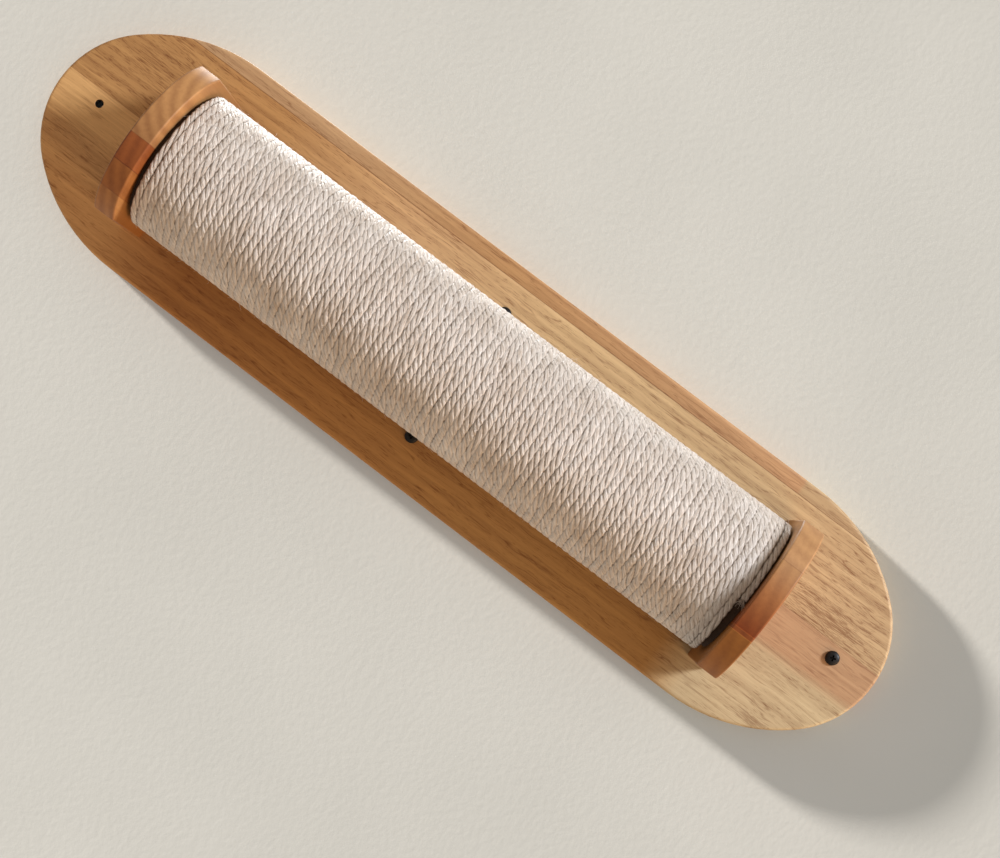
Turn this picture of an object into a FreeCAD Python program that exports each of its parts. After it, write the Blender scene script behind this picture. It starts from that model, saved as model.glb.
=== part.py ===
import FreeCAD, Part
import math
import os
import re

import Sketcher

# Wall-mounted cat scratching post: a round-ended board that lies flat on a wall, two arched
# brackets on its front, and a rope-wound post held between them.
# Sizes are in millimetres and angles in degrees. The board's back lies in the plane Y = 0 with
# the wall on its +Y side, the post runs along Z, and the origin is the middle of the board's back.

SIZES = [
    # Board
    ("board_length", 606.0),
    ("board_width", 150.0),
    # Each end is three arcs: the tip's radius is below half the width, the shoulders' is above it
    ("board_tip_ease", 12.0),
    ("board_shoulder_ease", 35.0),
    ("board_thickness", 15.0),
    ("board_front_round", 2.0),
    ("board_back_round", 0.8),
    # Holes for the wall screws: one near each tip and one on either side of the post
    ("wall_hole_diameter", 5.0),
    ("wall_hole_bevel", 0.4),
    ("end_hole_inset", 29.0),
    ("mid_hole_spacing", 91.0),
    ("mid_hole_rise", 2.6),
    # Wall screws, with a plain shank through the board and a thicker thread in the wall
    ("wall_screw_length", 40.0),
    ("wall_screw_head_diameter", 8.6),
    ("wall_screw_head_height", 2.6),
    ("wall_screw_head_rim", 1.0),
    ("wall_screw_shank_diameter", 3.8),
    ("wall_screw_thread_diameter", 4.2),
    ("wall_screw_plain_reach", 1.0),
    ("wall_screw_tip_length", 5.0),
    # Brackets: the margins are the wood that shows around the rope
    ("bracket_tip_distance", 84.0),
    ("bracket_thickness", 14.0),
    ("bracket_side_margin", 5.5),
    ("bracket_crown_margin", 9.7),
    ("bracket_corner_round", 2.0),
    ("bracket_edge_round", 1.2),
    # Post core: a card tube with a wooden disc in each end
    ("post_board_gap", 2.0),
    ("core_diameter", 80.0),
    ("core_wall", 3.0),
    ("core_end_clearance", 0.2),
    ("plug_thickness", 16.0),
    ("plug_clearance", 0.1),
    ("plug_lead_bevel", 1.5),
    # Rope, a little slimmer than its pitch so that the turns stay apart
    ("rope_diameter", 4.2),
    ("rope_turn_gap", 0.45),
    ("rope_clearance", 0.3),
    ("rope_end_clearance", 0.6),
    ("rope_end_side_angle", 3.0),
    # Countersunk screws that hold the brackets to the board and the discs to the brackets
    ("joint_screw_head_diameter", 8.0),
    ("joint_screw_shank_diameter", 4.0),
    ("joint_screw_tip_length", 4.0),
    ("bracket_screw_length", 35.0),
    ("bracket_screw_spacing", 56.0),
    ("post_screw_length", 28.0),
    ("post_screw_spacing", 36.0),
    ("screw_clearance", 0.15),
    ("pilot_clearance", 0.05),
    # Nails through the tube into its discs
    ("nail_count", 3),
    ("nail_length", 16.0),
    ("nail_shank_diameter", 1.8),
    ("nail_head_diameter", 3.6),
    ("nail_head_height", 0.6),
    ("nail_sink", 0.2),
    # Length by which every open-ended cut runs past the solid
    ("cut_overrun", 2.0),
]

# Sizes that follow from the driving ones, as expressions
TIP_RADIUS = "(board_width / 2 - board_tip_ease)"
TIP_CENTRE = "(board_length / 2 - {})".format(TIP_RADIUS)
ARCS_APART = "(board_tip_ease + board_shoulder_ease)"
SHOULDER_RISE = "sqrt({} ^ 2 - board_shoulder_ease ^ 2)".format(ARCS_APART)
SHOULDER_Z = "({} - {})".format(TIP_CENTRE, SHOULDER_RISE)
ARC_JOIN_X = "({} * board_shoulder_ease / {})".format(TIP_RADIUS, ARCS_APART)
ARC_JOIN_Z = "({} + {} * {} / {})".format(TIP_CENTRE, TIP_RADIUS, SHOULDER_RISE, ARCS_APART)
POST_RADIUS = "(core_diameter / 2 + rope_clearance + rope_diameter)"
AXIS_Y = "(-(board_thickness + post_board_gap + {}))".format(POST_RADIUS)
CROWN_RADIUS = "({} + bracket_crown_margin)".format(POST_RADIUS)
BRACKET_HALF = "({} + bracket_side_margin)".format(POST_RADIUS)
CORNER_Y = "({} - sqrt(({}) ^ 2 - ({}) ^ 2))".format(AXIS_Y, CROWN_RADIUS, BRACKET_HALF)
INNER_FACE = "(board_length / 2 - bracket_tip_distance - bracket_thickness)"
BRACKET_MIDDLE = "({} + bracket_thickness / 2)".format(INNER_FACE)
END_HOLE_Z = "(board_length / 2 - end_hole_inset)"
CORE_RADIUS = "(core_diameter / 2)"
TUBE_BORE = "(core_diameter / 2 - core_wall)"
PLUG_RADIUS = "({} - plug_clearance)".format(TUBE_BORE)
NAIL_HEIGHT = "({} - plug_thickness / 2)".format(INNER_FACE)
NAIL_TOP = "({} - nail_sink)".format(CORE_RADIUS)
SCREW_HOLE_RADIUS = "(joint_screw_shank_diameter / 2 + screw_clearance)"
PILOT_RADIUS = "(joint_screw_shank_diameter / 2 + pilot_clearance)"
COUNTERSINK = "((joint_screw_head_diameter - joint_screw_shank_diameter) / 2)"

# Two coordinates nearer than this are the same when edges are looked up
MATCH = 1e-6

doc = FreeCAD.newDocument("scratching_post")
sheet = doc.addObject("Spreadsheet::Sheet", "sizes")
for row, (alias, number) in enumerate(SIZES, start=1):
    sheet.set("A{}".format(row), alias)
    sheet.set("B{}".format(row), str(number))
    sheet.setAlias("B{}".format(row), alias)
doc.recompute()
ALIASES = {alias for alias, _ in SIZES}
sub_parts = []


def linked(text):
    """Return an expression with each size in it pointed at its cell of the sheet."""
    def cell(word):
        return "sizes." + word[0] if word[0] in ALIASES else word[0]
    return re.sub(r"[a-z_]+", cell, text)


def value(text):
    """Return the present value of an expression, for first guesses and look-ups."""
    return float(sheet.evalExpression(text))


def new_body(label, y="0"):
    """Start a sub-part whose own origin stands at height y off the wall."""
    body = doc.addObject("PartDesign::Body", label)
    body.Label = label
    body.setExpression("Placement.Base.y", linked(y))
    sub_parts.append(body)
    return body


def origin_feature(body, role):
    """Return one of a body's own planes or axes."""
    return next(item for item in body.Origin.OriginFeatures if item.Role == role)


def new_sketch(body, name, plane, offset="0"):
    """Start a sketch on one of a body's planes, moved along that plane's normal."""
    sketch = body.newObject("Sketcher::SketchObject", name)
    sketch.AttachmentSupport = (origin_feature(body, plane), "")
    sketch.MapMode = "FlatFace"
    sketch.setExpression("AttachmentOffset.Base.z", linked(offset))
    return sketch


def pin_point(sketch, geometry, corner, x, y):
    """Fix one point of a sketch at two expressions: a zero puts it on the axis, None leaves it."""
    for kind, axis, text in (("DistanceX", -2, x), ("DistanceY", -1, y)):
        if text is None:
            continue
        if text == "0":
            sketch.addConstraint(Sketcher.Constraint("PointOnObject", geometry, corner, axis))
        else:
            index = sketch.addConstraint(
                Sketcher.Constraint(kind, -1, 1, geometry, corner, value(text)))
            sketch.setExpression("Constraints[{}]".format(index), linked(text))


def set_radius(sketch, geometry, radius):
    """Bind the radius of a circle or an arc."""
    index = sketch.addConstraint(Sketcher.Constraint("Radius", geometry, value(radius)))
    sketch.setExpression("Constraints[{}]".format(index), linked(radius))


def draw_circles(sketch, centres, radius):
    """Draw equal circles about points given as expressions."""
    for x, y in centres:
        middle = FreeCAD.Vector(value(x), value(y), 0)
        circle = Part.Circle(middle, FreeCAD.Vector(0, 0, 1), value(radius))
        geometry = sketch.addGeometry(circle)
        pin_point(sketch, geometry, 3, x, y)
        set_radius(sketch, geometry, radius)


def arc_between(start, end, centre_level, way):
    """Return the arc between two points about a centre at a given level.

    way is 1 where the arc bulges up the sketch's second axis, and -1 where it bulges down.
    """
    across = end.x - start.x
    up_start, up_end = start.y - centre_level, end.y - centre_level
    centre_x = (end.x ** 2 - start.x ** 2 + up_end ** 2 - up_start ** 2) / (2 * across)
    centre = FreeCAD.Vector(centre_x, centre_level, 0)
    outward = FreeCAD.Vector(start.y - end.y, across, 0).normalize()
    if outward.y * way < 0:
        outward = -outward
    return Part.Arc(start, centre + outward * (start - centre).Length, end)


def draw_outline(sketch, points, bulges=None):
    """Draw a closed outline through points given as expressions.

    The side after a point that bulges names is an arc: it gives the level of the arc's centre
    and the way that the arc bulges.
    """
    bulges = bulges or {}
    spots = [FreeCAD.Vector(value(x), value(y), 0) for x, y in points]
    sides = []
    for number, start in enumerate(spots):
        end = spots[(number + 1) % len(spots)]
        if number in bulges:
            level, way = bulges[number]
            geometry = sketch.addGeometry(arc_between(start, end, value(level), way))
            pin_point(sketch, geometry, 3, None, level)
            turned = sketch.getPoint(geometry, 1).distanceToPoint(start) > MATCH
            sides.append((geometry, 2, 1) if turned else (geometry, 1, 2))
        else:
            geometry = sketch.addGeometry(Part.LineSegment(start, end))
            sides.append((geometry, 1, 2))
    for number, (geometry, start_corner, _) in enumerate(sides):
        before, _, end_corner = sides[number - 1]
        sketch.addConstraint(
            Sketcher.Constraint("Coincident", before, end_corner, geometry, start_corner))
        pin_point(sketch, geometry, start_corner, *points[number])


def pad(body, sketch, length, flip=False):
    """Raise a sketch into a solid."""
    feature = body.newObject("PartDesign::Pad", sketch.Name + "_pad")
    feature.Profile = sketch
    feature.setExpression("Length", linked(length))
    feature.Reversed = flip
    doc.recompute()
    return feature


def pocket(body, sketch, length, flip=False):
    """Cut a sketch into the solid, and make sure that it did cut."""
    before = body.Shape.Volume
    feature = body.newObject("PartDesign::Pocket", sketch.Name + "_pocket")
    feature.Profile = sketch
    feature.setExpression("Length", linked(length))
    feature.Reversed = flip
    doc.recompute()
    if not body.Shape.Volume < before:
        raise RuntimeError(feature.Name + " cuts nothing")
    return feature


def dress_edges(body, kind, size_property, size, wanted):
    """Fillet or chamfer the edges of a body's last feature that a test picks out."""
    base = body.Tip
    names = ["Edge{}".format(number)
             for number, edge in enumerate(base.Shape.Edges, start=1) if wanted(edge)]
    if not names:
        raise RuntimeError(body.Label + " has no such edge to dress")
    feature = body.newObject("PartDesign::" + kind, "{}_{}".format(base.Name, kind.lower()))
    feature.Base = (base, names)
    feature.setExpression(size_property, linked(size))
    doc.recompute()
    return feature


def is_rim(edge, radius, axis, level):
    """Tell whether an edge is a hole's rim of this radius at this level along an axis."""
    if not isinstance(edge.Curve, Part.Circle):
        return False
    place = getattr(edge.Curve.Center, axis)
    return abs(edge.Curve.Radius - value(radius)) < MATCH and abs(place - value(level)) < MATCH


def polar_copies(body, features):
    """Repeat features round the post's axis, one for each nail."""
    pattern = body.newObject("PartDesign::PolarPattern", body.Label + "_copies")
    pattern.Originals = features
    pattern.Axis = (origin_feature(body, "Z_Axis"), [""])
    pattern.Angle = 360
    pattern.setExpression("Occurrences", linked("nail_count"))
    body.Tip = pattern
    doc.recompute()
    return pattern


def pair_along_x(spacing):
    """Return the first coordinates of a pair of holes about the middle."""
    return ["-{} / 2".format(spacing), "{} / 2".format(spacing)]


def build_board():
    """Build the board: a round-ended panel, drilled for the wall and for the brackets."""
    body = new_body("base_board")
    outline = new_sketch(body, "board_outline", "XZ_Plane")
    draw_outline(
        outline,
        [("board_width / 2", "-" + SHOULDER_Z), ("board_width / 2", SHOULDER_Z),
         (ARC_JOIN_X, ARC_JOIN_Z), ("-" + ARC_JOIN_X, ARC_JOIN_Z),
         ("-board_width / 2", SHOULDER_Z), ("-board_width / 2", "-" + SHOULDER_Z),
         ("-" + ARC_JOIN_X, "-" + ARC_JOIN_Z), (ARC_JOIN_X, "-" + ARC_JOIN_Z)],
        {1: (SHOULDER_Z, 1), 2: (TIP_CENTRE, 1), 3: (SHOULDER_Z, 1),
         5: ("-" + SHOULDER_Z, -1), 6: ("-" + TIP_CENTRE, -1), 7: ("-" + SHOULDER_Z, -1)})
    pad(body, outline, "board_thickness")
    front = -value("board_thickness")
    dress_edges(body, "Fillet", "Radius", "board_front_round",
                lambda edge: abs(edge.BoundBox.YMax - front) < MATCH)
    dress_edges(body, "Fillet", "Radius", "board_back_round",
                lambda edge: abs(edge.BoundBox.YMin) < MATCH)

    wall_holes = new_sketch(body, "wall_holes", "XZ_Plane", "-cut_overrun")
    centres = [("0", END_HOLE_Z), ("0", "-" + END_HOLE_Z)]
    centres += [(x, "mid_hole_rise") for x in pair_along_x("mid_hole_spacing")]
    draw_circles(wall_holes, centres, "wall_hole_diameter / 2")
    pocket(body, wall_holes, "board_thickness + 2 * cut_overrun", flip=True)
    dress_edges(body, "Chamfer", "Size", "wall_hole_bevel",
                lambda edge: is_rim(edge, "wall_hole_diameter / 2", "y", "-board_thickness"))

    screw_holes = new_sketch(body, "bracket_screw_holes", "XZ_Plane", "-cut_overrun")
    draw_circles(
        screw_holes,
        [(x, sign + BRACKET_MIDDLE)
         for x in pair_along_x("bracket_screw_spacing") for sign in ("", "-")],
        SCREW_HOLE_RADIUS)
    pocket(body, screw_holes, "board_thickness + 2 * cut_overrun", flip=True)
    dress_edges(body, "Chamfer", "Size", COUNTERSINK,
                lambda edge: is_rim(edge, SCREW_HOLE_RADIUS, "y", "0"))


def build_bracket(label, sign):
    """Build one arched bracket; sign is "" at the upper end and "-" at the lower."""
    lower = sign == "-"
    inner, outer = sign + INNER_FACE, sign + "({} + bracket_thickness)".format(INNER_FACE)
    body = new_body(label)
    outline = new_sketch(body, label + "_outline", "XY_Plane", inner)
    draw_outline(
        outline,
        [(BRACKET_HALF, "-board_thickness"), ("-" + BRACKET_HALF, "-board_thickness"),
         ("-" + BRACKET_HALF, CORNER_Y), (BRACKET_HALF, CORNER_Y)],
        {2: (AXIS_Y, -1)})
    pad(body, outline, "bracket_thickness", flip=lower)
    foot = -value("board_thickness")
    dress_edges(body, "Fillet", "Radius", "bracket_corner_round",
                lambda edge: edge.BoundBox.ZLength > MATCH and edge.BoundBox.YMax < foot - MATCH)
    dress_edges(body, "Fillet", "Radius", "bracket_edge_round",
                lambda edge: edge.BoundBox.ZLength < MATCH and edge.BoundBox.YMin < foot - MATCH)

    pilots = new_sketch(body, label + "_pilots", "XZ_Plane", "board_thickness - cut_overrun")
    draw_circles(pilots, [(x, sign + BRACKET_MIDDLE) for x in pair_along_x("bracket_screw_spacing")],
                 PILOT_RADIUS)
    pocket(body, pilots, "bracket_screw_length - board_thickness + pilot_clearance + cut_overrun",
           flip=True)

    post_holes = new_sketch(body, label + "_post_holes", "XY_Plane", inner)
    draw_circles(post_holes, [(x, AXIS_Y) for x in pair_along_x("post_screw_spacing")],
                 SCREW_HOLE_RADIUS)
    pocket(body, post_holes, "bracket_thickness + cut_overrun", flip=not lower)
    dress_edges(body, "Chamfer", "Size", COUNTERSINK,
                lambda edge: is_rim(edge, SCREW_HOLE_RADIUS, "z", outer))


def build_core_tube():
    """Build the card tube, with a sunk hole for each nail."""
    body = new_body("core_tube", AXIS_Y)
    half_length = "({} - core_end_clearance)".format(INNER_FACE)
    ring = new_sketch(body, "tube_ring", "XY_Plane", "-" + half_length)
    draw_circles(ring, [("0", "0")], CORE_RADIUS)
    draw_circles(ring, [("0", "0")], TUBE_BORE)
    pad(body, ring, "2 * " + half_length)

    spots = [("0", NAIL_HEIGHT), ("0", "-" + NAIL_HEIGHT)]
    shanks = new_sketch(body, "tube_nail_holes", "XZ_Plane")
    draw_circles(shanks, spots, "nail_shank_diameter / 2 + pilot_clearance")
    shank_cut = pocket(body, shanks, CORE_RADIUS + " + cut_overrun", flip=True)
    seat = "{} - nail_head_height - pilot_clearance".format(NAIL_TOP)
    heads = new_sketch(body, "tube_nail_seats", "XZ_Plane", seat)
    draw_circles(heads, spots, "nail_head_diameter / 2 + pilot_clearance")
    head_cut = pocket(body, heads, "nail_head_height + nail_sink + cut_overrun", flip=True)
    polar_copies(body, [shank_cut, head_cut])


def build_core_plug(label, sign):
    """Build one of the discs that close the tube and take the post screws."""
    upper = sign == ""
    body = new_body(label, AXIS_Y)
    disc = new_sketch(body, label + "_disc", "XY_Plane", sign + INNER_FACE)
    draw_circles(disc, [("0", "0")], PLUG_RADIUS)
    pad(body, disc, "plug_thickness", flip=upper)
    inner_level = sign + "({} - plug_thickness)".format(INNER_FACE)
    dress_edges(body, "Chamfer", "Size", "plug_lead_bevel",
                lambda edge: is_rim(edge, PLUG_RADIUS, "z", inner_level))

    pilots = new_sketch(body, label + "_pilots", "XY_Plane", sign + INNER_FACE)
    draw_circles(pilots, [(x, "0") for x in pair_along_x("post_screw_spacing")], PILOT_RADIUS)
    pocket(body, pilots, "post_screw_length - bracket_thickness + pilot_clearance", flip=not upper)

    nail_end = "{} - nail_length - pilot_clearance".format(NAIL_TOP)
    nails = new_sketch(body, label + "_nail_holes", "XZ_Plane", nail_end)
    draw_circles(nails, [("0", sign + NAIL_HEIGHT)], "nail_shank_diameter / 2 + pilot_clearance")
    nail_cut = pocket(body, nails, "nail_length + cut_overrun", flip=True)
    polar_copies(body, [nail_cut])


def build_plug_nails(label, sign):
    """Build the ring of nails that holds one disc in the tube."""
    body = new_body(label, AXIS_Y)
    profile = new_sketch(body, label + "_profile", "YZ_Plane")
    level = sign + NAIL_HEIGHT
    head_foot = "-({} - nail_head_height)".format(NAIL_TOP)
    shank_end = "-({} - nail_length)".format(NAIL_TOP)
    head_side = "{} + nail_head_diameter / 2".format(level)
    shank_side = "{} + nail_shank_diameter / 2".format(level)
    draw_outline(
        profile,
        [("-" + NAIL_TOP, level), ("-" + NAIL_TOP, head_side), (head_foot, head_side),
         (head_foot, shank_side), (shank_end, shank_side), (shank_end, level)])
    revolve(body, profile, "-" + NAIL_TOP, level, shank_end, level)
    polar_copies(body, [body.Tip])


def revolve(body, profile, x_start, y_start, x_end, y_end):
    """Turn a profile about a line between two of its own points."""
    start = FreeCAD.Vector(value(x_start), value(y_start), 0)
    end = FreeCAD.Vector(value(x_end), value(y_end), 0)
    axis = profile.addGeometry(Part.LineSegment(start, end), True)
    pin_point(profile, axis, 1, x_start, y_start)
    pin_point(profile, axis, 2, x_end, y_end)
    feature = body.newObject("PartDesign::Revolution", profile.Name + "_turned")
    feature.Profile = profile
    feature.ReferenceAxis = (profile, ["Axis0"])
    feature.Angle = 360
    doc.recompute()
    return feature


def build_screws(label, half_profile, bulges, spacing, tilt, y, z):
    """Build a screw, or a mirrored pair of them, from a half profile of radii and heights.

    The screw's own Z axis points out of its head. tilt turns that axis about X, in degrees,
    and y and z place the level that the half profile counts from.
    """
    body = new_body(label, y)
    body.setExpression("Placement.Base.z", linked(z))
    body.Placement.Rotation = FreeCAD.Rotation(FreeCAD.Vector(1, 0, 0), tilt)
    profile = new_sketch(body, label + "_profile", "XZ_Plane")
    middle = spacing + " / 2" if spacing else "0"
    points = []
    for radius, height in half_profile:
        if radius == "0":
            points.append((middle, height))
        else:
            points.append(("{} + {}".format(middle, radius) if spacing else radius, height))
    draw_outline(profile, points, bulges)
    revolve(body, profile, middle, half_profile[0][1], middle, half_profile[-1][1])
    if spacing:
        pair = body.newObject("PartDesign::Mirrored", label + "_pair")
        pair.Originals = [body.Tip]
        pair.MirrorPlane = (origin_feature(body, "YZ_Plane"), [""])
        body.Tip = pair
        doc.recompute()


def pan_head_profile():
    """Return the half profile of a wall screw."""
    plain_end = "-(board_thickness + wall_screw_plain_reach)"
    return [
        ("0", "wall_screw_head_height"),
        ("wall_screw_head_diameter / 2", "wall_screw_head_rim"),
        ("wall_screw_head_diameter / 2", "0"),
        ("wall_screw_shank_diameter / 2", "0"),
        ("wall_screw_shank_diameter / 2", plain_end),
        ("wall_screw_thread_diameter / 2", plain_end),
        ("wall_screw_thread_diameter / 2", "-(wall_screw_length - wall_screw_tip_length)"),
        ("0", "-wall_screw_length")]


def countersunk_profile(length):
    """Return the half profile of a countersunk screw with its head flush."""
    return [
        ("0", "0"),
        ("joint_screw_head_diameter / 2", "0"),
        ("joint_screw_shank_diameter / 2", "-" + COUNTERSINK),
        ("joint_screw_shank_diameter / 2", "-({} - joint_screw_tip_length)".format(length)),
        ("0", "-" + length)]


def half_turn(start, start_way, end, end_way):
    """Return the two arcs that join a pair of points and run along their tangents there."""
    chord = end - start
    ways = start_way + end_way
    bend = 2 * (start_way.dot(end_way) - 1)
    slope = chord.dot(ways)
    reach = (slope - math.sqrt(slope ** 2 - bend * chord.dot(chord))) / bend
    first_knee = start + start_way * reach
    last_knee = end - end_way * reach
    joint = (first_knee + last_knee) / 2
    arcs = []
    for low, knee, high in ((start, first_knee, joint), (joint, last_knee, end)):
        weight = (high - low).Length / 2 / reach
        crown = (low + knee * 2 * weight + high) / (2 * (1 + weight))
        arcs.append(Part.Arc(low, crown, high).toShape())
    return arcs


def least_gap(spots, samples_per_turn, thickness):
    """Return the least room between a tube's neighbouring turns, measured on points."""
    near = samples_per_turn // 2
    gaps = []
    for number, spot in enumerate(spots):
        others = spots[number + near:number + 3 * near]
        gaps += [spot.distanceToPoint(other) - thickness for other in others]
    return min(gaps)


def build_rope():
    """Build the rope: one unbroken right-hand winding in a single layer on the tube."""
    thickness = value("rope_diameter")
    radius = value(CORE_RADIUS + " + rope_clearance + rope_diameter / 2")
    top = value("{} - rope_end_clearance - rope_diameter / 2".format(INNER_FACE))
    # A spare half turn puts the rope's other end behind the post
    whole_turns = math.floor(2 * top / value("rope_diameter + rope_turn_gap") - 1 / 2)
    half_turns = 2 * whole_turns + 1
    rise = 2 * top / half_turns
    first_angle = math.radians(-90 - value("rope_end_side_angle"))

    def place(turned):
        angle = first_angle + math.pi * turned
        return FreeCAD.Vector(
            radius * math.cos(angle), radius * math.sin(angle), rise * turned - top)

    def way(turned):
        angle = first_angle + math.pi * turned
        along = FreeCAD.Vector(
            -radius * math.sin(angle), radius * math.cos(angle), rise / math.pi)
        return along.normalize()

    tail_start = place(0) - way(0) * thickness
    tail_end = place(half_turns) + way(half_turns) * thickness
    edges = [Part.LineSegment(tail_start, place(0)).toShape()]
    for number in range(half_turns):
        edges += half_turn(place(number), way(number), place(number + 1), way(number + 1))
    edges.append(Part.LineSegment(place(half_turns), tail_end).toShape())
    path = Part.Wire(edges)
    section = Part.Wire(Part.makeCircle(thickness / 2, tail_start, way(0)))

    rope = doc.addObject("Part::Feature", "sisal_rope")
    rope.Shape = path.makePipeShell([section], True, False)
    rope.Placement.Base = FreeCAD.Vector(0, value(AXIS_Y), 0)
    sub_parts.append(rope)

    samples_per_turn = 36
    steps = half_turns * samples_per_turn // 2
    spots = [place(2 * step / samples_per_turn) for step in range(steps + 1)]
    swept = math.pi * thickness ** 2 / 4 * path.Length
    print("rope: {} turns, length {:.0f}, least gap to itself {:.3f}, volume share {:.4f}".format(
        half_turns / 2, path.Length, least_gap(spots, samples_per_turn, thickness),
        rope.Shape.Volume / swept))


build_board()
ENDS = [("upper", ""), ("lower", "-")]
for end_name, end_sign in ENDS:
    build_bracket(end_name + "_bracket", end_sign)
build_core_tube()
for end_name, end_sign in ENDS:
    build_core_plug(end_name + "_core_plug", end_sign)
    build_plug_nails(end_name + "_plug_nails", end_sign)
build_rope()

DOME_HEIGHT = "(wall_screw_head_height - wall_screw_head_rim)"
DOME_RADIUS = "(((wall_screw_head_diameter / 2) ^ 2 + {0} ^ 2) / (2 * {0}))".format(DOME_HEIGHT)
HEAD_DOME = {0: ("wall_screw_head_height - " + DOME_RADIUS, 1)}
build_screws("mid_wall_screws", pan_head_profile(), HEAD_DOME, "mid_hole_spacing", 90,
             "-board_thickness", "mid_hole_rise")
build_screws("lower_wall_screw", pan_head_profile(), HEAD_DOME, None, 90,
             "-board_thickness", "-" + END_HOLE_Z)
for end_name, end_sign in ENDS:
    build_screws(end_name + "_bracket_screws", countersunk_profile("bracket_screw_length"), {},
                 "bracket_screw_spacing", -90, "0", end_sign + BRACKET_MIDDLE)
    build_screws(end_name + "_post_screws", countersunk_profile("post_screw_length"), {},
                 "post_screw_spacing", 0 if end_sign == "" else 180, AXIS_Y,
                 end_sign + "({} + bracket_thickness)".format(INNER_FACE))

doc.recompute()
for item in doc.Objects:
    if "Invalid" in item.State or "Error" in item.State:
        raise RuntimeError("{} failed: {}".format(item.Label, item.State))
for part in sub_parts:
    if part.Shape.isNull() or not part.Shape.isValid():
        raise RuntimeError(part.Label + " has no valid shape")
os.makedirs("parts", exist_ok=True)
for part in sub_parts:
    part.Shape.exportStep("parts/{}.step".format(part.Label))
    print("{}: {} solids, {:.1f} mm3".format(part.Label, len(part.Shape.Solids), part.Shape.Volume))
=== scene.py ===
import logging
import math
from abc import ABC, abstractmethod
from dataclasses import dataclass, field
from enum import Enum
from typing import Any, Mapping, Sequence

import bpy
import numpy as np
from mathutils import Matrix, Vector


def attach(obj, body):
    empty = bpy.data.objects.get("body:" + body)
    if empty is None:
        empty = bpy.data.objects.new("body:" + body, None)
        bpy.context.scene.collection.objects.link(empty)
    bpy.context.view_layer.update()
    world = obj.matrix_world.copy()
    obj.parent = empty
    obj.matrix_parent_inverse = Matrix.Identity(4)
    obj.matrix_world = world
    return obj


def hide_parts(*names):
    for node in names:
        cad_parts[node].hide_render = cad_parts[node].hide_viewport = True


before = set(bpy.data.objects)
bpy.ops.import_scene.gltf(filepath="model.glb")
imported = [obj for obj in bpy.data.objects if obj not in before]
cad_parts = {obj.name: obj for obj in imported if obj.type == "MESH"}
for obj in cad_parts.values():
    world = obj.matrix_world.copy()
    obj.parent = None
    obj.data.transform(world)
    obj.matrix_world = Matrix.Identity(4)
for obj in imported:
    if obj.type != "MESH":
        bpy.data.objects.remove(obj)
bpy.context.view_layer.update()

LOG = logging.getLogger("scratching_post")

# Sizes below are in millimetres in the frame of the solids; meshes are in metres.
MM = 0.001
ROOT_BODY = "root"
Colour = tuple[float, float, float, float]
Point = tuple[float, float, float]
Tree = bpy.types.NodeTree
Node = bpy.types.Node
Socket = bpy.types.NodeSocket
Piece = bpy.types.Object


class GrainAxis(Enum):
    """The way that a piece of wood's grain runs, with its stretch along each axis."""

    UP_THE_BOARD = (0, 0, 1)
    OFF_THE_WALL = (0, 1, 0)


class ToneAxis(Enum):
    """The way that the tones of a panel's staves change."""

    UP = "Z"
    ACROSS = "X"


class HeadForm(Enum):
    """The form of a screw's head."""

    PAN = "pan"
    COUNTERSUNK = "countersunk"


def linear(code: str) -> Colour:
    """Turn an sRGB hex colour into a linear one.

    Args:
        code: Six hex digits.

    Returns:
        Red, green and blue, with an alpha of 1.
    """
    channels = [int(code[start:start + 2], 16) / 255 for start in (0, 2, 4)]
    bent = [c / 12.92 if c <= 0.04045 else ((c + 0.055) / 1.055) ** 2.4 for c in channels]
    return (bent[0], bent[1], bent[2], 1.0)


def add_node(
    tree: Tree,
    kind: str,
    inputs: Mapping[Any, Any] | None = None,
    stops: Sequence[tuple[float, Colour]] = (),
    **settings: Any,
) -> Node:
    """Add a shader node with its settings and links.

    Args:
        tree: The material's or world's node tree.
        kind: The node's type name after ShaderNode.
        inputs: For each socket, by name or number, a constant, an output to link, or a node
            whose first output is linked.
        stops: For a colour ramp, its places from low to high with their colours.
        settings: The node's own properties.

    Returns:
        The new node.
    """
    made = tree.nodes.new("ShaderNode" + kind)
    for name, setting in settings.items():
        setattr(made, name, setting)
    for key, source in (inputs or {}).items():
        if isinstance(source, Node):
            source = source.outputs[0]
        if isinstance(source, Socket):
            tree.links.new(source, made.inputs[key])
        else:
            made.inputs[key].default_value = source
    if stops:
        ramp = made.color_ramp
        ramp.elements.remove(ramp.elements[-1])
        ramp.elements[0].position, ramp.elements[0].color = stops[0]
        for place, colour in stops[1:]:
            ramp.elements.new(place).color = colour
    return made


class Finish(ABC):
    """A surface finish that makes its own material."""

    name: str

    @abstractmethod
    def wire(self, tree: Tree, shader: Node) -> None:
        """Set the shader's values and link its patterns.

        Args:
            tree: The material's node tree.
            shader: Its Principled BSDF.
        """

    def speckle(self, tree: Tree, size: float, detail: float = 3.0) -> Socket:
        """Add an even noise over the piece.

        Args:
            tree: The material's node tree.
            size: The size of its spots.
            detail: How many finer layers it has.

        Returns:
            The noise, about 0.5.
        """
        place = add_node(tree, "TexCoord").outputs["Object"]
        return add_node(tree, "TexNoise", {
            "Vector": place, "Scale": 1 / (size * MM), "Detail": detail}).outputs["Fac"]

    def material(self) -> bpy.types.Material:
        """Return this finish's material, made once."""
        made = bpy.data.materials.get(self.name)
        if made is None:
            made = bpy.data.materials.new(self.name)
            made.use_nodes = True
            self.wire(made.node_tree, made.node_tree.nodes["Principled BSDF"])
        return made


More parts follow.
